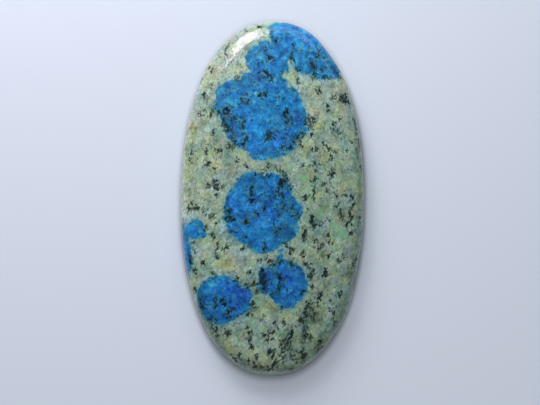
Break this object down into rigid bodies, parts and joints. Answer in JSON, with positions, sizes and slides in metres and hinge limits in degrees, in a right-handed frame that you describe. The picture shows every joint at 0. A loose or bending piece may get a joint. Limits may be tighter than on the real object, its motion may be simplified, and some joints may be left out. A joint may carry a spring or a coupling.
{
  "type": "azurite in granite cabochon",
  "caption": "Polished oval cabochon of pale speckled granite with round blue azurite spots, low dome and flat back.",
  "frame": {"origin": "middle of the flat back", "axes": "+Z out of the domed face, Y along the length of the oval, X across its width"},
  "size_m": [0.0292, 0.0564, 0.0058],
  "materials": {
    "azurite_granite": "polished pale grey-green granite with black flecks and bright blue azurite spots"
  },
  "bodies": {
    "root": {"cabochon": "azurite_granite"}
  },
  "joints": []
}
